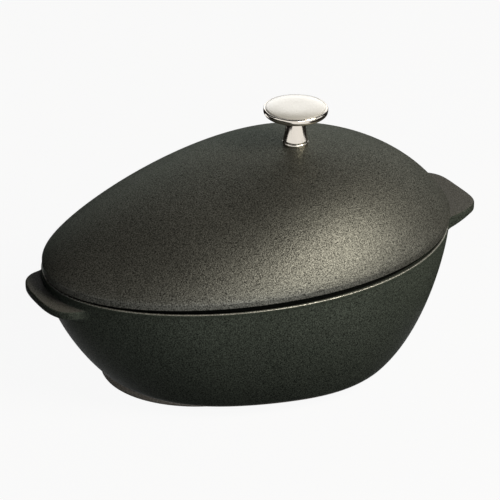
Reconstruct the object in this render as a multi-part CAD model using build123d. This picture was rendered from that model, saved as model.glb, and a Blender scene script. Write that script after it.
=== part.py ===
from build123d import *
import math
import os
from typing import NamedTuple

# A mussel pot: an egg-shaped cast-iron pot on a raised foot, with two cast-on tab handles, a domed lid
# that drops into its mouth, and a turned metal knob held by a screw from inside the lid.
# Millimetres, +Z up. X runs along the pot, with the pointed end towards -X and the blunt end towards +X.
# The origin is on the ground, at the middle of the length over the handles.


class Egg(NamedTuple):
    """A flat egg outline, even about X: its two ends, its half width and how full it is at the blunt end."""

    tip: float
    blunt: float
    half_width: float
    fullness: float
    squareness: float

    def inset(self, depth):
        """The same outline drawn in by a depth."""
        return self._replace(
            tip=self.tip + depth, blunt=self.blunt - depth, half_width=self.half_width - depth
        )

    def towards(self, other, tip_share, blunt_share, side_share):
        """An outline part of the way to another, with a share of its own for each end and for the sides."""
        shares = (tip_share, blunt_share, side_share, side_share, side_share)
        return Egg(*(a + (b - a) * share for a, b, share in zip(self, other, shares)))

    def face(self, height):
        """The face inside the outline, level, at a height."""
        middle, half_length = (self.tip + self.blunt) / 2, (self.blunt - self.tip) / 2
        points = []
        for i in range(OUTLINE_POINTS):
            angle = 2 * math.pi * i / OUTLINE_POINTS
            swell = 1 + self.fullness * math.cos(angle) + self.squareness * (math.cos(2 * angle) + 1)
            across = self.half_width * math.sin(angle) * swell
            points.append((middle + half_length * math.cos(angle), across, height))
        return make_face(Spline(*points, periodic=True))

    def block(self, low, high):
        """The upright block inside the outline, between two heights."""
        return stack([(self, low), (self, high)])


class Handle(NamedTuple):
    """A tab handle: the side it is on, the shape of its plan, its depth below the rim and its thickness."""

    side: int
    wall_x: float
    half_width: float
    flare: float
    squareness: float
    below_rim: float
    edge_thickness: float
    root_thickness: float


OUTLINE_POINTS = 32

# The pot. Its wall swells out from the base outline to the rim, and stands upright there.
RIM_HEIGHT = 76.0
RIM = Egg(tip=-136.1, blunt=123.4, half_width=93.0, fullness=0.084, squareness=-0.011)
BASE = Egg(tip=-100.4, blunt=31.0, half_width=78.0, fullness=0.333, squareness=0.2)
TIP_SWELL = (1.53, 1.17)
BLUNT_SWELL = (1.46, 3.0)
SIDE_SWELL = (1.54, 3.35)
BOWL_BANDS, CAVITY_BANDS = 10, 8
BOWL_CLIMB_POWER = 1.5
BASE_ROUND = 5.0
BASE_CUT = 0.7
WALL = 4.2
RIM_WALL = 6.0
RIM_WALL_POWER = 6
FLOOR_HEIGHT = 10.5
RIM_OUTER_BREAK, RIM_INNER_BREAK = 1.0, 0.8

# The raised foot, a solid disc with a shallow recess that leaves a ring to stand on.
FOOT = Egg(tip=-98.9, blunt=36.0, half_width=60.3, fullness=0.013, squareness=-0.011)
FOOT_HEIGHT = 6.7
FOOT_DRAFT = 1.0
FOOT_BREAK = 1.0
FOOT_RING_WIDTH = 9.0
FOOT_RECESS = 3.0
FOOT_SUNK = 2.3

# The handles, flat tabs below the rim. Each starts inside the wall and ends at the length over the handles.
HANDLE_END = 145.5
HANDLE_ROOT_INSIDE = 18.0
HANDLE_POINTS = 17
HANDLE_BREAK = 1.2
POINTED_HANDLE = Handle(
    side=-1,
    wall_x=RIM.tip,
    half_width=32.1,
    flare=-0.12,
    squareness=2.9,
    below_rim=5.0,
    edge_thickness=4.2,
    root_thickness=5.6,
)
BLUNT_HANDLE = Handle(
    side=1,
    wall_x=RIM.blunt,
    half_width=28.75,
    flare=0.29,
    squareness=4.5,
    below_rim=3.3,
    edge_thickness=5.0,
    root_thickness=8.4,
)

# The lid. Its edge overhangs a narrow seat on the rim, and a lip below the seat locates it in the mouth.
MOUTH = RIM.inset(RIM_WALL)
LID_EDGE = Egg(tip=-135.7, blunt=124.6, half_width=90.3, fullness=0.084, squareness=-0.011)
LID_CROWN_X = 27.0
LID_CROWN = Egg(tip=LID_CROWN_X, blunt=LID_CROWN_X, half_width=0.0, fullness=-0.018, squareness=-0.011)
LID_GAP = 1.0
LID_BAND = 4.2
LID_RISE = 47.9
LID_SHELL = 3.6
LID_TOP_SHELL = 4.2
SEAT_INSET = 1.5
SEAT_HEIGHT = 3.0
LIP_DEPTH = 5.0
LIP_CLEARANCE = 1.2
LIP_WIDTH = 3.0
DOME_RISE_POWER = 1.2
DOME_TIP_POWER, DOME_BLUNT_POWER, DOME_SIDE_POWER = 1.7, 2.37, 2.67
DOME_BANDS, CEILING_BANDS = 12, 9
DOME_LAST_ANGLE = 87.0

# The knob and what holds it.
KNOB_SEAT_RADIUS = 8.6
KNOB_CAP_RADIUS = 19.2
KNOB_CREASE_RADIUS = 18.5
KNOB_CAP_BOTTOM, KNOB_WIDEST, KNOB_CREASE, KNOB_TOP = 18.9, 22.6, 23.8, 25.3
KNOB_ROLL_STEPS, KNOB_CROWN_STEPS = 3, 1
KNOB_CROWN_FLAT = 0.45
KNOB_UNDERSIDE_RADIUS = 13.5
KNOB_NECK_RADIUS = 6.05
KNOB_STEM_RADIUS = 6.9
KNOB_FOOT_RADIUS = 7.7
KNOB_FOOT_HEIGHT = 2.5
KNOB_GROOVE = 0.5
KNOB_BORE_DEPTH = 12.0
SCREW_RADIUS = 3.0
SCREW_REACH = 9.5
SCREW_HEAD_RADIUS, SCREW_HEAD_HEIGHT = 5.2, 3.8
SCREW_SLOT_WIDTH, SCREW_SLOT_DEPTH = 1.4, 1.8
SCREW_HOLE_RADIUS = 3.3
WASHER_RADIUS, WASHER_THICKNESS = 7.0, 1.2
SPRING_WASHER_RADIUS, SPRING_WASHER_THICKNESS = 5.2, 1.6
SPRING_WASHER_SPLIT = 1.0
WASHER_BORE_RADIUS = 3.2
BOSS_RADIUS = 10.0

LID_BOTTOM = RIM_HEIGHT + LID_GAP
DOME_SPRING = LID_BOTTOM + LID_BAND
DOME_APEX = DOME_SPRING + LID_RISE
KNOB_SEAT = DOME_APEX - 0.1
BOSS_BOTTOM = KNOB_SEAT - LID_TOP_SHELL - 0.6


def upright(radius, low, high):
    """A round bar about the knob's axis, between two heights."""
    return Pos(LID_CROWN_X, 0, low) * Cylinder(radius, high - low, align=(Align.CENTER, Align.CENTER, Align.MIN))


def stack(outlines):
    """The solid inside a stack of outlines with their heights, drawn straight from each one to the next."""
    return loft([outline.face(height) for outline, height in outlines], ruled=True)


def bowl(base_height, wall, rim_wall, rim_break, rim_turn, bands):
    """The bowl's shape drawn in by a wall, thicker at the rim, where its edge turns in (1) or out (-1)."""
    height = RIM_HEIGHT - base_height
    outlines = []
    for i in range(bands + 1):
        way_up = 1 - math.cos(math.pi / 2 * i / bands) ** (2 / BOWL_CLIMB_POWER)
        climb = (height - rim_break) * way_up
        share = (climb + BASE_CUT) / (height + BASE_CUT)
        tip, blunt, side = (
            (1 - (1 - share) ** power) ** (1 / root) for power, root in (TIP_SWELL, BLUNT_SWELL, SIDE_SWELL)
        )
        base_edge = BASE_ROUND - math.sqrt(BASE_ROUND**2 - max(BASE_ROUND - BASE_CUT - climb, 0) ** 2)
        depth = wall + (rim_wall - wall) * share**RIM_WALL_POWER + base_edge
        outlines.append((BASE.towards(RIM, tip, blunt, side).inset(depth), base_height + climb))
    outlines.append((RIM.inset(rim_wall + rim_turn * rim_break), RIM_HEIGHT))
    return stack(outlines)


def make_foot():
    """The foot: tapered, with a broken edge where it stands, and hollowed to a ring."""
    top = FOOT_HEIGHT + FOOT_SUNK
    wide = FOOT.inset(FOOT_DRAFT)
    foot = stack([(wide.inset(FOOT_BREAK), 0), (wide, FOOT_BREAK), (FOOT, top)])
    return foot - FOOT.inset(FOOT_RING_WIDTH).block(0, FOOT_RECESS)


def make_handle(handle):
    """A tab handle: its plan is half a squarish oval, and its underside slopes down to the wall."""
    root_x = handle.wall_x - handle.side * HANDLE_ROOT_INSIDE
    end_x = handle.side * HANDLE_END
    outline = []
    for i in range(HANDLE_POINTS):
        angle = math.pi * (i / (HANDLE_POINTS - 1) - 0.5)
        c, s = max(math.cos(angle), 0), math.sin(angle)
        size = (c**handle.squareness + abs(s) ** handle.squareness) ** (-1 / handle.squareness)
        out, across = size * c, size * s
        width = handle.half_width * (1 + handle.flare * (1 - out))
        outline.append((root_x + (end_x - root_x) * out, width * across))
    plan = make_face([Spline(*outline), Line(outline[-1], outline[0])])
    top = RIM_HEIGHT - handle.below_rim
    low, edge_low = top - handle.root_thickness, top - handle.edge_thickness
    slab = extrude(Pos(0, 0, low) * plan, amount=handle.root_thickness, dir=(0, 0, 1))
    beyond, beneath = end_x + handle.side, low - 1
    below = Polyline(
        (handle.wall_x, 0, low), (beyond, 0, edge_low), (beyond, 0, beneath), (handle.wall_x, 0, beneath), close=True
    )
    slab -= extrude(make_face(below), amount=handle.half_width * 2, dir=(0, 1, 0), both=True)
    outer = [e for e in slab.edges() if abs(e.center().X) > abs(handle.wall_x) and e.length > 2 * handle.half_width]
    return chamfer(outer, HANDLE_BREAK)


def make_pot():
    body = bowl(FOOT_HEIGHT, 0, 0, RIM_OUTER_BREAK, 1, BOWL_BANDS) + make_foot()
    body += make_handle(POINTED_HANDLE)
    body += make_handle(BLUNT_HANDLE)
    return body - bowl(FLOOR_HEIGHT, WALL, RIM_WALL, RIM_INNER_BREAK, -1, CAVITY_BANDS)


def dome(edge, bottom, spring, apex, bands):
    """The solid shape of the lid: an upright band at its edge, and above it a dome up to a small flat."""
    outlines = [(edge, bottom)]
    for i in range(bands + 1):
        angle = math.radians(DOME_LAST_ANGLE * i / bands)
        rise = math.sin(angle) ** (2 / DOME_RISE_POWER)
        tip, blunt, side = (
            1 - math.cos(angle) ** (2 / power) for power in (DOME_TIP_POWER, DOME_BLUNT_POWER, DOME_SIDE_POWER)
        )
        outlines.append((edge.towards(LID_CROWN, tip, blunt, side), spring + (apex - spring) * rise))
    return stack(outlines)


def make_lid():
    lip = MOUTH.inset(LIP_CLEARANCE)
    hollow = lip.inset(LIP_WIDTH)
    ceiling = LID_EDGE.inset(LID_SHELL)
    seat_top = RIM_HEIGHT + SEAT_HEIGHT
    body = dome(LID_EDGE, LID_BOTTOM, DOME_SPRING, DOME_APEX, DOME_BANDS)
    body += LID_EDGE.inset(SEAT_INSET).block(RIM_HEIGHT, LID_BOTTOM + 1)
    body += lip.block(RIM_HEIGHT - LIP_DEPTH, RIM_HEIGHT + 1)
    body += upright(KNOB_SEAT_RADIUS, KNOB_SEAT - 2, KNOB_SEAT)
    body -= hollow.block(RIM_HEIGHT - LIP_DEPTH, seat_top)
    body -= dome(ceiling, seat_top, seat_top + 2, DOME_APEX - LID_TOP_SHELL, CEILING_BANDS)
    body += upright(BOSS_RADIUS, BOSS_BOTTOM, KNOB_SEAT - 1)
    body -= upright(SCREW_HOLE_RADIUS, BOSS_BOTTOM - 1, KNOB_SEAT + 1)
    return body


def make_knob():
    """A turned knob: foot ring, groove, stem that narrows upwards, and a wide cap with a crowned top."""
    groove_radius, stem_bottom = KNOB_STEM_RADIUS - KNOB_GROOVE, KNOB_FOOT_HEIGHT + KNOB_GROOVE
    profile = [
        (0, 0),
        (KNOB_FOOT_RADIUS, 0),
        (KNOB_FOOT_RADIUS, KNOB_FOOT_HEIGHT),
        (groove_radius, KNOB_FOOT_HEIGHT),
        (groove_radius, stem_bottom),
        (KNOB_STEM_RADIUS, stem_bottom),
        (KNOB_NECK_RADIUS, KNOB_CAP_BOTTOM),
    ]
    for i in range(KNOB_ROLL_STEPS + 1):
        angle = math.pi / 2 * i / KNOB_ROLL_STEPS
        out = KNOB_UNDERSIDE_RADIUS + (KNOB_CAP_RADIUS - KNOB_UNDERSIDE_RADIUS) * math.sin(angle)
        profile.append((out, KNOB_WIDEST - (KNOB_WIDEST - KNOB_CAP_BOTTOM) * math.cos(angle)))
    for i in range(KNOB_CROWN_STEPS + 1):
        out = 1 - (1 - KNOB_CROWN_FLAT) * i / KNOB_CROWN_STEPS
        rise = (1 - out**2) / (1 - KNOB_CROWN_FLAT**2)
        profile.append((KNOB_CREASE_RADIUS * out, KNOB_CREASE + (KNOB_TOP - KNOB_CREASE) * rise))
    profile.append((0, KNOB_TOP))
    half = Plane.XZ * make_face(Polyline(*profile, close=True))
    return Pos(LID_CROWN_X, 0, KNOB_SEAT) * revolve(half, Axis.Z) - upright(
        SCREW_RADIUS, KNOB_SEAT, KNOB_SEAT + KNOB_BORE_DEPTH
    )


def make_washer():
    low = BOSS_BOTTOM - WASHER_THICKNESS
    return upright(WASHER_RADIUS, low, BOSS_BOTTOM) - upright(WASHER_BORE_RADIUS, low, BOSS_BOTTOM)


def make_spring_washer():
    high = BOSS_BOTTOM - WASHER_THICKNESS
    low = high - SPRING_WASHER_THICKNESS
    ring = upright(SPRING_WASHER_RADIUS, low, high) - upright(WASHER_BORE_RADIUS, low, high)
    middle = (WASHER_BORE_RADIUS + SPRING_WASHER_RADIUS) / 2
    split = Pos(LID_CROWN_X + middle, 0, (low + high) / 2) * Rot(25, 0, 0)
    return ring - split * Box(SPRING_WASHER_RADIUS, SPRING_WASHER_SPLIT, 3 * SPRING_WASHER_THICKNESS)


def make_screw():
    seat = BOSS_BOTTOM - WASHER_THICKNESS - SPRING_WASHER_THICKNESS
    head = upright(SCREW_HEAD_RADIUS, seat - SCREW_HEAD_HEIGHT, seat)
    head = chamfer(head.edges().group_by(Axis.Z)[0], SCREW_HEAD_HEIGHT / 3)
    shank = upright(SCREW_RADIUS, seat, KNOB_SEAT + SCREW_REACH)
    shank = chamfer(shank.edges().group_by(Axis.Z)[-1], 0.6)
    slot_size = (3 * SCREW_HEAD_RADIUS, SCREW_SLOT_WIDTH, 2 * SCREW_SLOT_DEPTH)
    slot = Pos(LID_CROWN_X, 0, seat - SCREW_HEAD_HEIGHT) * Box(*slot_size)
    return head + shank - slot


PIECES = {
    "pot": (make_pot, "dimgray"),
    "lid": (make_lid, "gray"),
    "knob": (make_knob, "antiquewhite"),
    "knob_washer": (make_washer, "silver"),
    "knob_spring_washer": (make_spring_washer, "silver"),
    "knob_screw": (make_screw, "silver"),
}

os.makedirs("parts", exist_ok=True)
for name, (make, colour) in PIECES.items():
    piece = make()
    piece.label = name
    piece.color = Color(colour)
    export_step(piece, f"parts/{name}.step")
    print(f"{name}: {piece.volume / 1000:.1f} cm3")
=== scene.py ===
import math

import bmesh
import bpy
import numpy as np
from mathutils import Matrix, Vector


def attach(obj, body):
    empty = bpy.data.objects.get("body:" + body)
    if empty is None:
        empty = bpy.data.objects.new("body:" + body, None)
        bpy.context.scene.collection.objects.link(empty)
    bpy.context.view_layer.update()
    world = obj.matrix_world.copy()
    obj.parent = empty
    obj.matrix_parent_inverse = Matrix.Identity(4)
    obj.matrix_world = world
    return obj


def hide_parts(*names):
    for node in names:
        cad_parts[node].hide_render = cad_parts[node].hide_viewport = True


# A mussel pot in matt black enamelled cast iron, with a turned metal knob on its egg-shaped lid.
# The pieces' sizes are in millimetres, and turn into metres where a mesh or material is made. The
# setting and the camera are in metres.
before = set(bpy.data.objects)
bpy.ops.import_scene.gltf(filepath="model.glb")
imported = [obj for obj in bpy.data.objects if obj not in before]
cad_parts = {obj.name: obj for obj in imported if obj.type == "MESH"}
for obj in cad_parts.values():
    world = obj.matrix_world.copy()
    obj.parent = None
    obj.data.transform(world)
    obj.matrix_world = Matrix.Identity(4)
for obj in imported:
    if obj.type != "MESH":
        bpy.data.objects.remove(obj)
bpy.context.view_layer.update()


# The pot
# One thick iron casting: the bowl, its raised foot and both tab handles are poured together.
# It is enamelled matt black inside and out, and its rim edge is ground round.

MM = 0.001
POT_RIM_Z = 76.0
POT_BASE_Z = 6.7
POT_FLOOR_Z = 10.5
POT_FLOOR_CENTRE_X = -34.0
LEDGE_Z = 74.2
POT_RIM = (-136.1, 123.4, 93.0, 0.084, -0.011)
POT_BASE = (-100.4, 31.0, 78.0, 0.333, 0.2)
POT_SWELLS = ((1.53, 1.17), (1.46, 3.0), (1.54, 3.35))
POT_BASE_ROUND, POT_BASE_CUT = 5.0, 0.7
POT_WALL, POT_RIM_WALL = 4.2, 6.0
POT_FOOT = (-101.4, 36.0, 60.3, 0.013, -0.011)
FOOT_RING, FOOT_RECESS = 9.0, 3.0
FOOT_ROUND, FOOT_INNER_ROUND, FOOT_LEAN, FOOT_LEAN_Z = 1.5, 0.6, 1.0, 9.0
FOOT_OVERLAP = 0.4
RECESS_CENTRE_X = -32.0
HANDLE_END = 145.5
HANDLE_ROOT = 18.0
HANDLE_PLAN_FILLET, HANDLE_FILLET, HANDLE_ROUND, HANDLE_TAPER = 4.0, 1.6, 1.1, 15.0
FINE_STEPS = 4001
POINTED_HANDLE = {
    "side": -1, "wall": -136.1, "half_width": 32.1, "flare": -0.12, "squareness": 2.9,
    "top": 71.0, "edge": 4.2, "root": 5.6, "columns": 72,
}
BLUNT_HANDLE = {
    "side": 1, "wall": 123.4, "half_width": 28.75, "flare": 0.29, "squareness": 4.5,
    "top": 72.7, "edge": 5.0, "root": 8.4, "columns": 96,
}


def inset(egg, depth):
    """An egg outline (tip, blunt end, half width, fullness, squareness) drawn in by a depth."""
    tip, blunt, half_width, fullness, squareness = egg
    return tip + depth, blunt - depth, half_width - depth, fullness, squareness


def egg_points(egg, angles):
    """Plan points of an egg outline at angles from its blunt end. Its sizes may be one per angle."""
    tip, blunt, half_width, fullness, squareness = egg
    x = (tip + blunt) / 2 + (blunt - tip) / 2 * np.cos(angles)
    swell = 1 + fullness * np.cos(angles) + squareness * (np.cos(2 * angles) + 1)
    return np.stack([x, half_width * np.sin(angles) * swell], axis=-1)


def pot_outline(z, base_z, wall=0.0, rim_wall=0.0):
    """The bowl's egg outline at a height, or at one height per angle, inside a wall."""
    climb = np.asarray(z, float) - base_z
    share = (climb + POT_BASE_CUT) / (POT_RIM_Z - base_z + POT_BASE_CUT)
    tip, blunt, side = ((1 - (1 - share) ** power) ** (1 / root) for power, root in POT_SWELLS)
    mixed = [a + (b - a) * s for a, b, s in zip(POT_BASE, POT_RIM, (tip, blunt, side, side, side))]
    below = np.maximum(POT_BASE_ROUND - POT_BASE_CUT - climb, 0)
    rounding = POT_BASE_ROUND - np.sqrt(POT_BASE_ROUND**2 - below**2)
    return inset(mixed, wall + (rim_wall - wall) * share**6 + rounding)


def inside_egg(points, egg):
    """Which plan points lie inside an egg outline."""
    tip, blunt, half_width, fullness, squareness = egg
    cosine = np.clip((points[:, 0] - (tip + blunt) / 2) / ((blunt - tip) / 2), -1, 1)
    angles = np.arccos(cosine)
    half = half_width * np.sin(angles) * (1 + fullness * cosine + squareness * (np.cos(2 * angles) + 1))
    return np.abs(points[:, 1]) < half


def lengths_along(points):
    """The length of a plan polyline up to each of its points."""
    return np.concatenate([[0], np.cumsum(np.linalg.norm(np.diff(points, axis=0), axis=1))])


def along(points, shares):
    """Points at shares of the length of a plan polyline."""
    lengths = lengths_along(points)
    return np.stack([np.interp(shares * lengths[-1], lengths, points[:, k]) for k in (0, 1)], axis=-1)


def handle_plan(handle):
    """A handle's free outline, with small fillets where it meets the wall, and each column's angle."""
    side, root_x = handle["side"], handle["wall"] - handle["side"] * HANDLE_ROOT
    turns = np.linspace(-math.pi / 2, math.pi / 2, FINE_STEPS)
    power = handle["squareness"]
    cosines, sines = np.maximum(np.cos(turns), 0), np.sin(turns)
    size = (cosines**power + np.abs(sines) ** power) ** (-1 / power)
    out = size * cosines
    width = handle["half_width"] * (1 + handle["flare"] * (1 - out))
    tab = np.stack([root_x + (side * HANDLE_END - root_x) * out, width * size * sines], axis=-1)
    wall = pot_outline(handle["top"] - handle["root"] / 2, POT_BASE_Z)
    free = tab[~inside_egg(tab, wall)]
    around = turns + (0 if side > 0 else math.pi)
    wall_points = egg_points(wall, around)
    near = [np.argmin(np.linalg.norm(wall_points - end, axis=1)) for end in (free[0], free[-1])]
    low, high = sorted(near)
    steps = np.linalg.norm(np.diff(wall_points, axis=0), axis=1)
    low -= int(HANDLE_PLAN_FILLET / steps[low])
    high += int(HANDLE_PLAN_FILLET / steps[high])
    if near[0] > near[1]:
        free = free[::-1]
    lengths = lengths_along(free)
    core = free[(lengths > HANDLE_PLAN_FILLET) & (lengths < lengths[-1] - HANDLE_PLAN_FILLET)]
    bend = np.linspace(0, 1, 24)[:, None]

    def corner(a, b, c):
        """A smooth bend from a to c, drawn towards b."""
        return (1 - bend) ** 2 * a + 2 * bend * (1 - bend) * b + bend**2 * c

    near_corner = corner(wall_points[low], free[0], core[0])
    far_corner = corner(core[-1], free[-1], wall_points[high])
    outline = np.concatenate([near_corner, core[1:-1], far_corner])
    shares = np.linspace(0, 1, handle["columns"] + 1)
    wall_shares = np.interp(shares, [0, 0.1, 0.9, 1], [0, 0.13, 0.87, 1])
    lengths = lengths_along(wall_points[low:high + 1])
    angles = np.interp(wall_shares * lengths[-1], lengths, around[low:high + 1])
    return along(outline, shares), angles


def unit(vectors):
    """Vectors of length one; ones of no length stay so."""
    return vectors / np.maximum(np.linalg.norm(vectors, axis=-1, keepdims=True), 1e-9)


def pot_columns():
    """For each of the pot's columns: its angle round the egg, the handle's outline point there if it has
    one, the outline's inward normal, and the handles' heights."""
    blunt_points, blunt_angles = handle_plan(BLUNT_HANDLE)
    tip_points, tip_angles = handle_plan(POINTED_HANDLE)
    between = 104
    front = np.linspace(blunt_angles[-1], tip_angles[0], between + 1)[1:-1]
    back = np.linspace(tip_angles[-1], blunt_angles[0] + 2 * math.pi, between + 1)[1:-1]
    angles = np.concatenate([blunt_angles, front, tip_angles, back])
    tip_start = len(blunt_angles) + len(front)
    reach = np.full((len(angles), 2), np.nan)
    normal = np.zeros((len(angles), 2))
    for start, points in ((0, blunt_points), (tip_start, tip_points)):
        tangent = unit(np.gradient(points, axis=0))
        reach[start:start + len(points)] = points
        normal[start:start + len(points)] = np.stack([-tangent[:, 1], tangent[:, 0]], axis=-1)
    # The heights of one handle turn into those of the other in the middle 60 % of the length.
    mix = np.clip(((1 + np.cos(angles)) / 2 - 0.2) / 0.6, 0, 1)
    mix = mix * mix * (3 - 2 * mix)
    pairs = [(POINTED_HANDLE[key], BLUNT_HANDLE[key]) for key in ("top", "edge", "root")]
    heights = [pointed + (blunt - pointed) * mix for pointed, blunt in pairs]
    return angles, reach, normal, heights


def with_height(points, z):
    """Plan points in space, at one height or at one height each."""
    return np.concatenate([points, np.broadcast_to(np.asarray(z, float), len(points))[:, None]], axis=1)


def pot_rows():
    """Rings of points over the pot, from the middle of its floor, over the rim, to the recess below."""
    angles, reach, inward, (top, edge, root) = pot_columns()
    free = ~np.isnan(reach[:, 0])
    rows = []
    inside = {"base_z": POT_FLOOR_Z, "wall": POT_WALL, "rim_wall": POT_RIM_WALL}

    def wall_row(z, base_z=POT_BASE_Z, wall=0.0, rim_wall=0.0, more=0.0):
        """The bowl's outline at a height, inside a wall, and drawn in by some more."""
        outline = inset(pot_outline(z, base_z, wall, rim_wall), more)
        return with_height(egg_points(outline, angles), z)

    # The floor, the wall inside it, and the round edge of the ledge.
    floor = wall_row(POT_FLOOR_Z, **inside)
    centre = np.array([POT_FLOOR_CENTRE_X, 0.0, POT_FLOOR_Z])
    rows += [centre + (floor - centre) * share for share in (0, 0.04, 0.15, 0.35, 0.6, 0.8, 0.92, 0.98)]
    last = math.radians(75)
    inner_round, outer_round = 1.0, 1.3
    inner_top = LEDGE_Z - inner_round * math.sin(last)
    inner_rows = 34
    for i in range(inner_rows):
        share = 1 - (1 - (i / inner_rows) ** 1.5) ** 1.4
        rows.append(wall_row(POT_FLOOR_Z + (inner_top - POT_FLOOR_Z) * share, **inside))
    for i in range(7):
        turn = last * i / 6
        z = LEDGE_Z - inner_round * (math.sin(last) - math.sin(turn))
        rows.append(wall_row(z, **inside, more=-inner_round * (1 - math.cos(turn))))

    def lip_row(depth, z):
        return with_height(egg_points(inset(POT_RIM, depth), angles), z)

    # The ledge, and over the lip to the wall outside. Each lip row is a depth from the rim and a height.
    ledge_in, ledge_out = rows[-1], lip_row(2.2, LEDGE_Z)
    rows += [ledge_in + (ledge_out - ledge_in) * share for share in (0.1, 0.5, 0.95)]
    rows += [lip_row(2.0, LEDGE_Z + 0.15), lip_row(1.95, 75.0), lip_row(1.8, 75.6), lip_row(1.5, 75.9)]
    outer_rim = []
    for i in range(7):
        turn = last * i / 6
        z = POT_RIM_Z - outer_round * (math.sin(last) - math.sin(turn))
        outer_rim.append(wall_row(z, more=outer_round * (1 - math.cos(turn))))
    outer_rim.reverse()
    rows += outer_rim
    rim_low = outer_rim[-1][0, 2]

    # The tab: fillet, top, rounded edge, underside, fillet. In the other columns the wall runs on.
    wall_mid = wall_row(top - root / 2)[:, :2]
    outline = np.where(free[:, None], reach, wall_mid)
    length = np.linalg.norm(outline - wall_mid, axis=1)
    scale = np.clip(length / (HANDLE_FILLET + HANDLE_ROUND + 0.4), 0, 1)
    tangent = unit(np.roll(wall_mid, -1, axis=0) - np.roll(wall_mid, 1, axis=0))
    outward = np.stack([tangent[:, 1], -tangent[:, 0]], axis=-1)
    high, low = top + HANDLE_FILLET, top - root - HANDLE_FILLET
    rows.append(wall_row(rim_low + (high - rim_low) * 0.5))
    thinned = np.clip((np.abs(outline[:, 0]) - np.abs(wall_mid[:, 0])) / HANDLE_TAPER, 0, 1)
    bottom = top - root + (root - edge) * thinned
    tab_rows = []
    f, r = HANDLE_FILLET * scale, HANDLE_ROUND * scale
    for i in range(6):
        turn = math.pi / 2 * i / 5
        z = top + f * (1 - math.sin(turn))
        wall = wall_row(z)[:, :2]
        tab_rows.append(with_height(wall + outward * (f * (1 - math.cos(turn)))[:, None], z))
    fillet_end = tab_rows[-1][:, :2]
    edge_start = outline + inward * r[:, None]
    for share in (0.08, 0.3, 0.6, 0.88):
        tab_rows.append(with_height(fillet_end + (edge_start - fillet_end) * share, top))
    for i in range(6):
        turn = math.pi / 2 * i / 5
        around = outline + inward * (r * (1 - math.sin(turn)))[:, None]
        tab_rows.append(with_height(around, top - r * (1 - math.cos(turn))))
    for i in range(6):
        turn = math.pi / 2 * i / 5
        around = outline + inward * (r * (1 - math.cos(turn)))[:, None]
        tab_rows.append(with_height(around, bottom + r * (1 - math.sin(turn))))
    wall = wall_row(top - root)[:, :2] + outward * f[:, None]
    edge_end = tab_rows[-1][:, :2]
    for share in (0.12, 0.4, 0.7, 0.92):
        z = bottom + (top - root - bottom) * share
        tab_rows.append(with_height(edge_end + (wall - edge_end) * share, z))
    for i in range(5):
        turn = math.pi / 2 * i / 4
        z = top - root - f * (1 - math.cos(turn))
        wall = wall_row(z)[:, :2]
        tab_rows.append(with_height(wall + outward * (f * (1 - math.sin(turn)))[:, None], z))
    for row, share in zip(tab_rows, np.linspace(0, 1, len(tab_rows))):
        plain = wall_row(high + (low - high) * share)
        rows.append(np.where(free[:, None], row, plain))

    # Down the wall to the base, or to where the foot stands further out, which halving steps find.
    base = np.full(len(angles), POT_BASE_Z)
    foot_out = inset(POT_FOOT, -FOOT_OVERLAP)
    lowest, highest = base.copy(), base + 4
    for _ in range(30):
        middle = (lowest + highest) / 2
        covered = inside_egg(wall_row(middle)[:, :2], foot_out)
        lowest, highest = np.where(covered, middle, lowest), np.where(covered, highest, middle)
    end = np.where(inside_egg(wall_row(base)[:, :2], foot_out), highest, base)
    outer_rows = 40
    for i in range(1, outer_rows + 1):
        share = (1 - i / outer_rows) ** 1.7
        rows.append(wall_row(end + (low - end) * share))

    # The foot: its side, which leans in downwards, its round edges, and the recess inside its ring.
    foot_top = with_height(egg_points(POT_FOOT, angles), end)
    rows += [rows[-1] + (foot_top - rows[-1]) * share for share in (0.3, 0.9)]

    def foot_row(z, more):
        lean = FOOT_LEAN * (1 - z / FOOT_LEAN_Z)
        return with_height(egg_points(inset(POT_FOOT, lean + more), angles), z)

    for share in (0.97, 0.7, 0.3):
        rows.append(foot_row(FOOT_ROUND + (end - FOOT_ROUND) * share, 0))
    for i in range(6):
        turn = math.pi / 2 * i / 5
        rows.append(foot_row(FOOT_ROUND * (1 - math.sin(turn)), FOOT_ROUND * (1 - math.cos(turn))))
    inner_edge = FOOT_RING - FOOT_INNER_ROUND
    rows.append(foot_row(0, inner_edge))
    for i in range(1, 4):
        turn = math.pi / 2 * i / 3
        rise, run = FOOT_INNER_ROUND * (1 - math.cos(turn)), FOOT_INNER_ROUND * math.sin(turn)
        rows.append(foot_row(rise, inner_edge + run))
    for below, beyond in ((0.8, 0), (0.25, 0.25), (0, 0.9)):
        rows.append(foot_row(FOOT_RECESS - below, FOOT_RING + beyond))
    hollow = rows[-1]
    centre = np.array([RECESS_CENTRE_X, 0.0, FOOT_RECESS])
    rows += [centre + (hollow - centre) * share for share in (0.9, 0.6, 0.3, 0.08, 0)]
    return rows


def ring_mesh(name, rows):
    """A closed mesh through rings of points, with its doubles merged and its faces turned outwards."""
    count = len(rows[0])
    made = bmesh.new()
    grid = [[made.verts.new(Vector(point) * MM) for point in row] for row in rows]
    for lower, upper in zip(grid, grid[1:]):
        for i in range(count):
            j = (i + 1) % count
            made.faces.new((lower[i], lower[j], upper[j], upper[i]))
    bmesh.ops.remove_doubles(made, verts=made.verts, dist=0.00001)
    bmesh.ops.dissolve_degenerate(made, edges=made.edges, dist=0.00001)
    bmesh.ops.recalc_face_normals(made, faces=made.faces)
    mesh = bpy.data.meshes.new(name)
    made.to_mesh(mesh)
    made.free()
    mesh.shade_smooth()
    piece = bpy.data.objects.new(name, mesh)
    bpy.context.scene.collection.objects.link(piece)
    return piece


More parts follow.
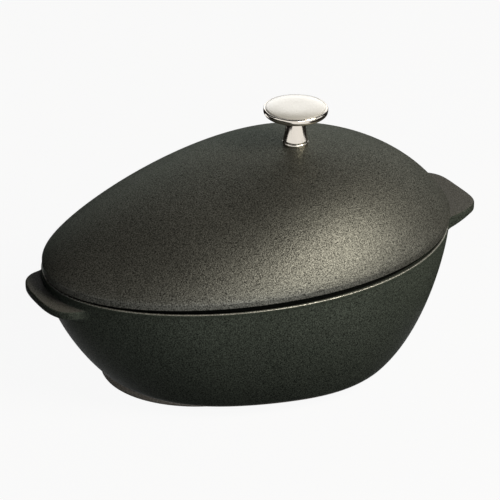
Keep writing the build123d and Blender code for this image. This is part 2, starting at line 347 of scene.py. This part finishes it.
class Wire:
    """A value in a node tree. Python's operators on it add Math nodes."""

    def __init__(self, bench, socket):
        self.bench, self.socket = bench, socket

    def maths(self, operation, *values):
        return self.bench.node("ShaderNodeMath", {"operation": operation}, values)

    def __add__(self, other):
        return self.maths("ADD", self, other)

    def __radd__(self, other):
        return self.maths("ADD", other, self)

    def __sub__(self, other):
        return self.maths("SUBTRACT", self, other)

    def __rsub__(self, other):
        return self.maths("SUBTRACT", other, self)

    def __mul__(self, other):
        return self.maths("MULTIPLY", self, other)

    def __rmul__(self, other):
        return self.maths("MULTIPLY", other, self)

    def __pow__(self, other):
        return self.maths("POWER", self, other)

    def cosine(self):
        return self.maths("COSINE", self)

    def sine(self):
        return self.maths("SINE", self)

    def at_most(self, other):
        return self.maths("MINIMUM", self, other)

    def at_least(self, other):
        return self.maths("MAXIMUM", self, other)

    def output(self, key):
        """Another output of the node that this value comes from."""
        return Wire(self.bench, self.socket.node.outputs[key])


class Bench:
    """A node tree, and the one way in which this file adds nodes to it."""

    def __init__(self, tree):
        self.tree = tree

    def node(self, kind, settings=None, values=(), output=0):
        """Adds a node with settings, and with its inputs set or linked by name or number."""
        made = self.tree.nodes.new(kind)
        for key, setting in (settings or {}).items():
            setattr(made, key, setting)
        pairs = values.items() if isinstance(values, dict) else enumerate(values)
        for key, value in pairs:
            if isinstance(value, Wire):
                self.tree.links.new(value.socket, made.inputs[key])
            elif value is not None:
                made.inputs[key].default_value = value
        return Wire(self, made.outputs[output]) if made.outputs else None


def new_material(name):
    """A new material's empty bench, and the material."""
    material = bpy.data.materials.new(name)
    material.use_nodes = True
    material.node_tree.nodes.clear()
    return Bench(material.node_tree), material


GRAIN_SCALE, PEBBLE_SCALE, CLOUD_SCALE = 1350, 600, 24
GRAIN_DEPTH = 0.24
# The heights and the darkest share of the painted shade towards the floor.
FLOOR_SHADE_Z, SHADE_END_Z, FLOOR_SHADE_TONE = 10.0, 65.0, 0.4


def mixed_colour(bench, share, first, second):
    """The first colour where the share is 0, and the second where it is 1."""
    return bench.node("ShaderNodeMix", {"data_type": "RGBA"}, {
        "Factor": share, 6: first, 7: second,
    }, output=2)


def enamel(name, colour, sheen, edge_tint, seed, zones):
    """Matt black enamel over sand-cast iron: a fine skin of paler and darker grains, with a dull sheen.
    Its colour is darkened towards the floor, as painted shade. Each zone has a look of its own past a
    height: the heights at which it starts and is full, its colour, sheen and roughness, and whether only
    flat tops have it. Some zones paint light or shade."""
    bench, material = new_material(name)
    spot = bench.node("ShaderNodeTexCoord", output="Object")
    height = bench.node("ShaderNodeSeparateXYZ", {}, [spot], output="Z")
    place = bench.node("ShaderNodeMapping", {}, {"Vector": spot, "Location": (seed, 0, 0)})

    def noise(scale, detail, rough=0.5):
        return bench.node("ShaderNodeTexNoise", {}, {
            "Vector": place, "Scale": scale, "Detail": detail, "Roughness": rough,
        })

    grain = noise(GRAIN_SCALE, 1.5, 0.6)
    pebble = noise(PEBBLE_SCALE, 2.0)
    cloud = noise(CLOUD_SCALE, 3.0)
    speck = bench.node("ShaderNodeMapRange", {}, {"Value": grain, "From Min": 0.3, "From Max": 0.7})

    def grained(tone, dark, pale):
        """A colour that the grain makes darker and paler by these factors."""
        ends = [(*(c * factor for c in tone), 1) for factor in (dark, pale)]
        return mixed_colour(bench, speck, *ends)

    # Painted shade: the colour darkens towards the floor, down to a share of itself near the foot.
    depth = bench.node("ShaderNodeMapRange", {}, {
        "Value": height, "From Min": FLOOR_SHADE_Z * MM, "From Max": SHADE_END_Z * MM, "To Min": FLOOR_SHADE_TONE,
    })
    shade = bench.node("ShaderNodeHueSaturation", {}, {
        "Color": grained(colour, 0.2, 1.9), "Value": (0.8 + 0.4 * cloud) * depth,
    })
    bump = bench.node("ShaderNodeBump", {}, {
        "Height": grain * 0.6 + pebble * 0.4, "Strength": 1.0, "Distance": GRAIN_DEPTH * MM,
    })
    rough = 0.5 + (cloud - 0.5) * 0.1 + (pebble - 0.5) * 0.2
    metal = sheen
    facing = bench.node("ShaderNodeNewGeometry", output="Normal")
    facing = bench.node("ShaderNodeSeparateXYZ", {}, [facing], output="Z")
    flat = bench.node("ShaderNodeMapRange", {"interpolation_type": "SMOOTHSTEP"}, {
        "Value": facing, "From Min": 0.8, "From Max": 0.98,
    })
    for start, full, zone_colour, zone_sheen, zone_roughness, tops_only in zones:
        share = bench.node("ShaderNodeMapRange", {"interpolation_type": "SMOOTHSTEP"}, {
            "Value": height, "From Min": start * MM, "From Max": full * MM,
        })
        if tops_only:
            share = share * flat
        shade = mixed_colour(bench, share, shade, grained(zone_colour, 0.5, 1.5))
        metal = metal + share * (zone_sheen - metal)
        rough = rough + share * (zone_roughness - rough)
    surface = bench.node("ShaderNodeBsdfPrincipled", {}, {
        "Base Color": shade, "Metallic": metal, "Roughness": rough, "Normal": bump,
        "Specular IOR Level": 0.02, "Specular Tint": (edge_tint * 0.92, edge_tint, edge_tint * 0.96, 1),
    })
    bench.node("ShaderNodeOutputMaterial", {}, {"Surface": surface})
    return material


pot = ring_mesh("pot_casting", pot_rows())
POT_ZONES = [
    # Painted light: the handles' flat tops are paler, as if lit from above.
    (66.0, 67.0, (0.078, 0.078, 0.072), 0.15, 0.5, True),
    # Above the ledge's height the plain enamel comes back, so that the handle tops' painted light stops
    # short of the rim.
    (73.5, 73.9, (0.028, 0.034, 0.028), 0.1, 0.55, False),
    (75.5, 75.85, (0.50, 0.50, 0.46), 0.9, 0.34, False),
    # Painted light: the foot's side, which lies in the pot's shade, is made paler as if lit from the
    # floor.
    (8.9, 8.4, (0.13, 0.12, 0.105), 0.2, 0.5, False),
]
pot.data.materials.append(enamel("pot_enamel", (0.032, 0.038, 0.032), 0.15, 0.1, 0.0, POT_ZONES))
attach(pot, "pot")
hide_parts("pot")


# The lid
# An egg-shaped iron dome, cast and enamelled like the pot. Its edge overhangs a narrow seat that
# rests on the rim, and a lip below the seat drops into the mouth and keeps it in place.

LID_EDGE = (-135.7, 124.6, 90.3, 0.084, -0.011)
DOME_POWERS, DOME_RISE_POWER, DOME_LEVEL_POWER = (1.7, 2.37, 2.67), 1.2, 1.15
LID_SIZES = {
    "Edge Tip": LID_EDGE[0], "Edge Blunt": LID_EDGE[1], "Edge Half Width": LID_EDGE[2],
    "Fullness": LID_EDGE[3], "Squareness": LID_EDGE[4],
    "Mouth Tip": POT_RIM[0] + POT_RIM_WALL, "Mouth Blunt": POT_RIM[1] - POT_RIM_WALL,
    "Mouth Half Width": POT_RIM[2] - POT_RIM_WALL,
    "Crown X": 27.0, "Crown Fullness": -0.018,
    "Seat Tip": -133.2, "Seat Blunt": 120.5, "Seat Half Width": 87.9,
    "Rim Height": POT_RIM_Z, "Ledge Height": LEDGE_Z, "Gap": 1.9, "Band": 3.3, "Rise": 47.9,
    "Edge Round": 0.8, "Droop": 1.3,
    "Shell": 3.6, "Crown Shell": 4.2, "Boss Height": 124.2,
    "Seat Height": 3.0, "Lip Depth": 5.0, "Lip Clearance": 1.2, "Lip Width": 3.0,
}


def lid_tree(material):
    """The tree that makes the lid from its sizes."""
    tree = bpy.data.node_groups.new("lid_dome", "GeometryNodeTree")
    tree.interface.new_socket("Geometry", in_out="OUTPUT", socket_type="NodeSocketGeometry")
    counts = {"Columns": 240, "Rings": 72}
    for name, value in {**LID_SIZES, **counts}.items():
        kind = "NodeSocketInt" if isinstance(value, int) else "NodeSocketFloat"
        socket = tree.interface.new_socket(name, in_out="INPUT", socket_type=kind)
        socket.default_value = value
    bench = Bench(tree)
    size = bench.node("NodeGroupInput").output
    columns = size("Columns")

    def skin(rings, rule):
        """A grid bent round the egg. At each level from 0 to 1 the rule gives an outline, a height, and
        the share of the droop by which the edge hangs lower at both ends."""
        grid = bench.node("GeometryNodeMeshGrid", {}, {
            "Size X": 1.0, "Size Y": 1.0, "Vertices X": columns + 1, "Vertices Y": rings,
        })
        place = bench.node("ShaderNodeSeparateXYZ", {}, [grid.output("UV Map")])
        angle = place * (2 * math.pi)
        tip, blunt, half, fullness, squareness, z, droop = rule(place.output("Y"))
        x = (tip + blunt) * 0.5 + (blunt - tip) * 0.5 * angle.cosine()
        swell = 1 + fullness * angle.cosine() + squareness * ((angle * 2).cosine() + 1)
        y = half * angle.sine() * swell
        low = z - size("Droop") * droop * angle.cosine() * angle.cosine()
        point = bench.node("ShaderNodeCombineXYZ", {}, [x * MM, y * MM, low * MM])
        return bench.node("GeometryNodeSetPosition", {}, {"Geometry": grid, "Position": point})

    def egg(start, depth):
        """An outline of the lid's own, or the pot's mouth, drawn in by a depth."""
        names = ("Tip", "Blunt", "Half Width")
        tip, blunt, half = (size(f"{start} {name}") for name in names)
        return tip + depth, blunt - depth, half - depth

    def dome(depth, spring, apex, ceiling=None):
        """The lid's rule: each end and the sides draw in at a rate of their own as the dome rises."""
        edge_tip, edge_blunt, edge_half = egg("Edge", depth)

        def rule(level):
            angle = level ** DOME_LEVEL_POWER * (math.pi / 2)
            rise = angle.sine().at_most(1.0) ** (2 / DOME_RISE_POWER)
            fall = angle.cosine().at_least(0.0)
            tip, blunt, side = (1 - fall ** (2 / power) for power in DOME_POWERS)
            crown = size("Crown X")
            fullness = size("Fullness") + (size("Crown Fullness") - size("Fullness")) * side
            z = spring + (apex - spring) * rise
            return (
                edge_tip + (crown - edge_tip) * tip, edge_blunt + (crown - edge_blunt) * blunt,
                edge_half * (1 - side), fullness, size("Squareness"),
                z if ceiling is None else z.at_most(ceiling), 0.0,
            )

        return skin(size("Rings"), rule)

    def hoop(low, low_z, high, high_z, rings=3, droops=(0, 0)):
        """A straight band between two outlines, which may droop at its lower and upper edge."""
        def rule(level):
            mixed = [a + (b - a) * level for a, b in zip(low, high)]
            z = low_z + (high_z - low_z) * level
            droop = droops[0] + (droops[1] - droops[0]) * level
            return (*mixed, size("Fullness"), size("Squareness"), z, droop)

        return skin(rings, rule)

    def corner(low_z, radius):
        """The quarter round between the lid's underside and its edge."""
        def rule(level):
            angle = level * (math.pi / 2)
            outline = egg("Edge", radius * (1 - angle.sine()))
            z = low_z + radius * (1 - angle.cosine())
            return (*outline, size("Fullness"), size("Squareness"), z, 1.0)

        return skin(7, rule)

    rim = size("Rim Height")
    bottom, turn = rim + size("Gap"), size("Edge Round")
    spring = bottom + size("Band")
    apex = spring + size("Rise")
    edge = egg("Edge", 0)
    seat = egg("Seat", 0)
    ledge = size("Ledge Height")
    lip = egg("Mouth", size("Lip Clearance"))
    hollow = egg("Mouth", size("Lip Clearance") + size("Lip Width"))
    shell = egg("Edge", size("Shell"))
    lip_z, seat_z = rim - size("Lip Depth"), rim + size("Seat Height")
    skins = [
        dome(0, spring, apex),
        hoop(edge, bottom + turn, edge, spring, rings=6, droops=(1, 0)),
        corner(bottom, turn),
        hoop(seat, bottom, egg("Edge", turn), bottom, droops=(1, 1)),
        hoop(seat, ledge, seat, bottom, droops=(0, 1)),
        hoop(lip, ledge, seat, ledge),
        hoop(lip, lip_z, lip, ledge),
        hoop(hollow, lip_z, lip, lip_z),
        hoop(hollow, seat_z, hollow, lip_z),
        hoop(shell, seat_z, hollow, seat_z),
        dome(size("Shell"), seat_z, apex - size("Crown Shell"), size("Boss Height")),
    ]
    joined = bench.node("GeometryNodeJoinGeometry")
    for piece in reversed(skins):
        tree.links.new(piece.socket, joined.socket.node.inputs[0])
    merged = bench.node("GeometryNodeMergeByDistance", {}, {"Geometry": joined, "Distance": 0.00002})
    smooth = bench.node("GeometryNodeSetShadeSmooth", {}, {"Geometry": merged})
    real = bench.node("GeometryNodeRealizeInstances", {}, {"Geometry": smooth})
    done = bench.node("GeometryNodeSetMaterial", {}, {"Geometry": real, "Material": material})
    bench.node("NodeGroupOutput", {}, [done])
    return tree


def grown(name, tree, sizes):
    """The plain mesh that a Geometry Nodes tree makes with these sizes."""
    seed = bpy.data.objects.new(name, bpy.data.meshes.new(name))
    bpy.context.scene.collection.objects.link(seed)
    modifier = seed.modifiers.new("sizes", "NODES")
    modifier.node_group = tree
    for item in tree.interface.items_tree:
        if item.in_out == "INPUT" and item.name in sizes:
            modifier[item.identifier] = sizes[item.name]
    evaluated = seed.evaluated_get(bpy.context.evaluated_depsgraph_get())
    mesh = bpy.data.meshes.new_from_object(evaluated)
    seed.modifiers.clear()
    seed.data = mesh
    mesh.name = name
    return seed


def outwards(piece):
    """Turns a closed piece's faces outwards."""
    made = bmesh.new()
    made.from_mesh(piece.data)
    bmesh.ops.dissolve_degenerate(made, edges=made.edges, dist=0.00001)
    bmesh.ops.recalc_face_normals(made, faces=made.faces)
    made.to_mesh(piece.data)
    made.free()


def rounded(piece, width, angle=35.0):
    """Rounds a piece's sharp edges by a width in millimetres, in its mesh."""
    bevel = piece.modifiers.new("edges", "BEVEL")
    bevel.width, bevel.segments = width * MM, 3
    bevel.limit_method, bevel.angle_limit = "ANGLE", math.radians(angle)
    evaluated = piece.evaluated_get(bpy.context.evaluated_depsgraph_get())
    mesh = bpy.data.meshes.new_from_object(evaluated)
    piece.modifiers.clear()
    piece.data = mesh
    mesh.shade_smooth()


# Painted shade: below its edge the lid's seat and lip are near black, as the shaded gap over the rim.
LID_ZONES = [(77.4, 76.6, (0.004, 0.0045, 0.004), 0.0, 0.8, False)]
lid_skin = enamel("lid_enamel", (0.095, 0.096, 0.086), 0.75, 0.42, 3.0, LID_ZONES)
lid = grown("lid_casting", lid_tree(lid_skin), LID_SIZES)
outwards(lid)
rounded(lid, 0.6)
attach(lid, "lid")
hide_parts("lid")


# The knob
# Turned in one piece from brass and nickel plated: a foot ring on the lid, a groove, a stem that
# narrows upwards and a wide cap. The stem and the cap's band are polished. The cap's top is satin and
# only partly metallic, so that it stays pale from every side.

KNOB_X, KNOB_Z = 27.0, 129.0
STEM_LOW, STEM_NECK, STEM_Z, STEM_HEIGHT, STEM_FLARE = 7.5, 5.5, 2.65, 14.2, 1.9
CAP_RADIUS, CAP_FLAT_RADIUS, CAP_CROWN_RADIUS = 19.2, 14.0, 18.0
CAP_BOTTOM, CAP_WIDEST, CAP_CREASE, CAP_CROWN, CAP_TOP = 18.9, 22.2, 23.8, 23.85, 25.3


def turned(name, profile, steps=144):
    """A solid turned about the knob's axis, from a profile of radius and height that closes on it."""
    turns = np.arange(steps) * (2 * math.pi / steps)
    rows = []
    for radius, height in profile:
        x, y = KNOB_X + radius * np.cos(turns), radius * np.sin(turns)
        rows.append(np.stack([x, y, np.full(steps, KNOB_Z + height)], axis=-1))
    return ring_mesh(name, rows)


def knob_profile():
    """The knob's radius and height above the lid, from the middle of its foot ring to the cap's top."""
    points = [(0, 0), (7.4, 0), (7.62, 0.08), (7.7, 0.3)]
    points += [(7.7, 1.9), (7.62, 2.05), (7.5, 2.12), (7.42, 2.25), (7.42, 2.4), (7.48, 2.55)]
    for i in range(17):
        share = i / 16
        radius = STEM_NECK + (STEM_LOW - STEM_NECK) * (1 - share) ** 1.4
        points.append((radius, STEM_Z + STEM_HEIGHT * share))
    neck_z = points[-1][1]
    for i in range(1, 7):
        turn = math.pi / 2 * i / 6
        radius = STEM_NECK + STEM_FLARE * (1 - math.cos(turn))
        points.append((radius, neck_z + STEM_FLARE * 1.08 * math.sin(turn)))
    points.append((13.0, CAP_BOTTOM))
    across, up, fullness = CAP_RADIUS - CAP_FLAT_RADIUS, CAP_WIDEST - CAP_BOTTOM, 0.7
    for i in range(25):
        turn = math.pi / 2 * i / 24
        radius = CAP_FLAT_RADIUS + across * math.sin(turn) ** fullness
        points.append((radius, CAP_WIDEST - up * math.cos(turn) ** fullness))
    points += [(19.17, 22.8), (19.05, 23.25), (18.8, 23.55), (18.5, 23.68), (18.3, 23.5), (18.15, 23.55)]
    for i in range(20):
        share = 1 - i / 20
        points.append((CAP_CROWN_RADIUS * share, CAP_CROWN + (CAP_TOP - CAP_CROWN) * (1 - share**4)))
    points.append((0, CAP_TOP))
    return points


def nickel():
    """Polished nickel with a warm tone, and satin on the cap's top with fine rings left by the lathe."""
    bench, material = new_material("knob_nickel")
    place = bench.node("ShaderNodeTexCoord", output="Object")
    centred = bench.node("ShaderNodeMapping", {}, {"Vector": place, "Location": (-KNOB_X * MM, 0, 0)})
    parts = bench.node("ShaderNodeSeparateXYZ", {}, [centred])
    radius = (parts * parts + parts.output("Y") * parts.output("Y")) ** 0.5
    height = parts.output("Z") - (KNOB_Z + CAP_CREASE - 0.2) * MM
    top = bench.node("ShaderNodeMapRange", {}, {
        "Value": height, "From Min": 0.0, "From Max": 0.0002,
    })
    rings = bench.node("ShaderNodeTexNoise", {"noise_dimensions": "1D"}, {
        "W": radius * 9000, "Scale": 1.0, "Detail": 3.0,
    })
    smear = bench.node("ShaderNodeTexNoise", {}, {"Vector": centred, "Scale": 160, "Detail": 3.0})
    colour = mixed_colour(bench, top, (0.80, 0.74, 0.66, 1), (0.70, 0.69, 0.66, 1))
    rough = 0.09 + (smear - 0.5) * 0.05 + top * (0.2 + (rings - 0.5) * 0.1)
    bump = bench.node("ShaderNodeBump", {}, {
        "Height": rings * top, "Strength": 0.12, "Distance": 0.0001,
    })
    surface = bench.node("ShaderNodeBsdfPrincipled", {}, {
        "Base Color": colour, "Metallic": 1 - 0.6 * top, "Roughness": rough, "Normal": bump,
    })
    bench.node("ShaderNodeOutputMaterial", {}, {"Surface": surface})
    return material


knob = turned("knob_turned", knob_profile())
knob.data.materials.append(nickel())
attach(knob, "lid")
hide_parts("knob")


# The knob's fixing
# A slotted steel screw with a spring washer and a plain washer, tightened from inside the lid.
# They keep their solids from the frame, in plain bright steel.


def steel():
    """Bright steel from the coil, with faint drawn lines and handling marks."""
    bench, material = new_material("fixing_steel")
    place = bench.node("ShaderNodeTexCoord", output="Object")
    stretched = bench.node("ShaderNodeMapping", {}, {"Vector": place, "Scale": (1, 1, 6)})
    lines = bench.node("ShaderNodeTexNoise", {}, {"Vector": stretched, "Scale": 900, "Detail": 3.0})
    marks = bench.node("ShaderNodeTexNoise", {}, {"Vector": place, "Scale": 300, "Detail": 4.0})
    colour = mixed_colour(bench, marks, (0.42, 0.42, 0.43, 1), (0.62, 0.62, 0.62, 1))
    bump = bench.node("ShaderNodeBump", {}, {"Height": lines, "Strength": 0.2, "Distance": 0.0001})
    surface = bench.node("ShaderNodeBsdfPrincipled", {}, {
        "Base Color": colour, "Metallic": 1.0, "Roughness": 0.24 + lines * 0.2, "Normal": bump,
    })
    bench.node("ShaderNodeOutputMaterial", {}, {"Surface": surface})
    return material


bright_steel = steel()
for name in ("knob_washer", "knob_spring_washer", "knob_screw"):
    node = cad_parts[name]
    node.data.materials.clear()
    node.data.materials.append(bright_steel)


# The setting
# A pale floor with the pot's shadow, a white surround, and four soft lamps: a strong warm one over the
# blunt end's front side, and weak ones low in front and behind. Seven black cloths stand or lie round
# the pot for its dark reflections, out of the camera's sight.

FLOOR_WHITE = 0.4
FLOOR_GLOW = 0.93
FILL = 0.12


def seen_directly(bench):
    """1 for rays from the camera, a mirror or glass, and 0 for the rays that light the object."""
    rays = bench.node("ShaderNodeLightPath", output="Is Camera Ray")
    return rays.at_least(rays.output("Is Glossy Ray")).at_least(rays.output("Is Transmission Ray"))


def floor_material():
    """White paper, which shows as almost plain white with a soft shadow."""
    bench, material = new_material("floor_paper")
    grey = (FLOOR_WHITE, FLOOR_WHITE, FLOOR_WHITE, 1)
    paper = bench.node("ShaderNodeBsdfDiffuse", {}, {"Color": grey})
    white = bench.node("ShaderNodeEmission", {}, {"Color": (1, 1, 1, 1), "Strength": 1.0})
    shown = bench.node("ShaderNodeMixShader", {}, [seen_directly(bench) * FLOOR_GLOW, paper, white])
    bench.node("ShaderNodeOutputMaterial", {}, {"Surface": shown})
    return material


bpy.ops.mesh.primitive_plane_add(size=12, location=(0, 0, 0))
floor = bpy.context.object
floor.name = "floor"
floor.data.materials.append(floor_material())

world = bpy.data.worlds.new("surround")
bpy.context.scene.world = world
world.use_nodes = True
world.node_tree.nodes.clear()
sky = Bench(world.node_tree)
strength = FILL + seen_directly(sky) * (1 - FILL)
light = sky.node("ShaderNodeBackground", {}, {"Color": (1, 1, 1, 1), "Strength": strength})
sky.node("ShaderNodeOutputWorld", {}, {"Surface": light})


def turn_towards(thing, place, target):
    """Puts a lamp, cloth or camera at a place, and turns it to face a target."""
    thing.location = place
    thing.rotation_euler = (Vector(target) - Vector(place)).to_track_quat("-Z", "Y").to_euler()


def softbox(name, place, target, width, height, power, colour=(1, 1, 1)):
    """A lamp behind a sheet of white cloth, which faces a target."""
    lamp = bpy.data.lights.new(name, "AREA")
    lamp.shape, lamp.size, lamp.size_y = "RECTANGLE", width, height
    lamp.energy, lamp.color = power, colour
    holder = bpy.data.objects.new(name, lamp)
    bpy.context.scene.collection.objects.link(holder)
    turn_towards(holder, place, target)


softbox("key", (0.70, -1.10, 1.16), (0.01, -0.06, 0.09), 0.8, 0.8, 36, (1.0, 0.93, 0.80))
softbox("front", (-0.25, -1.6, 0.45), (0, 0, 0.05), 0.6, 0.6, 7)
softbox("back", (1.05, 1.6, 0.95), (0, 0, 0.1), 1.5, 1.2, 7)
softbox("window", (0.75, 1.9, 0.25), (0, 0, 0.1), 1.4, 0.4, 1.3)

bench, black_cloth = new_material("black_cloth")
cloth = bench.node("ShaderNodeBsdfDiffuse", {}, {"Color": (0.02, 0.02, 0.02, 1)})
bench.node("ShaderNodeOutputMaterial", {}, {"Surface": cloth})


def black_sheet(name, width, height):
    """A sheet of black cloth, which every ray but the camera's sees."""
    bpy.ops.mesh.primitive_plane_add(size=1)
    sheet = bpy.context.object
    sheet.name = name
    sheet.scale = (width, height, 1)
    sheet.data.materials.append(black_cloth)
    sheet.visible_camera = False
    return sheet


def flag(name, place, target, width, height):
    """A black cloth on a stand, which faces a target. It also shades the pot from a lamp behind it."""
    panel = black_sheet(name, width, height)
    turn_towards(panel, place, target)


flag("flag_above", (0, 0, 1.9), (0, 0, 0), 7, 7)
flag("flag_left", (-1.35, 1.75, 0.8), (0, 0, 0.1), 3.2, 1.7)
flag("flag_right", (2.3, -0.1, 0.55), (0, 0, 0.1), 1.3, 1.1)
flag("flag_stand", (0.75, -1.0, 0.25), (0, 0, 0.1), 0.4, 0.5)


def floor_cloth(name, place, width, depth, turn=0.0):
    """A black cloth on the floor, which only mirrors see: the knob, and the enamel's sheen."""
    sheet = black_sheet(name, width, depth)
    sheet.location = (*place, 0.001)
    sheet.rotation_euler = (0, 0, math.radians(turn))
    sheet.visible_diffuse = sheet.visible_shadow = False


floor_cloth("cloth_behind", (0.719, 1.282), 2.4, 6.0, 60.7)
floor_cloth("cloth_right", (0.37, 0.0), 0.5, 0.78)
floor_cloth("cloth_left", (-0.42, 0.15), 0.5, 0.8)


# The camera
# At the photograph's place and field of view, found by fitting the pot's outlines to it.

CAMERA_PLACE = (-0.6430, -1.1461, 0.7525)
CAMERA_TARGET = (-0.00449, -0.00092, 0.06585)
camera_data = bpy.data.cameras.new("camera")
camera = bpy.data.objects.new("camera", camera_data)
bpy.context.scene.collection.objects.link(camera)
turn_towards(camera, CAMERA_PLACE, CAMERA_TARGET)
camera_data.sensor_width = 36.0
camera_data.lens = 177.24
camera_data.clip_start = 0.05
bpy.context.scene.camera = camera
bpy.context.scene.view_settings.view_transform = "Standard"
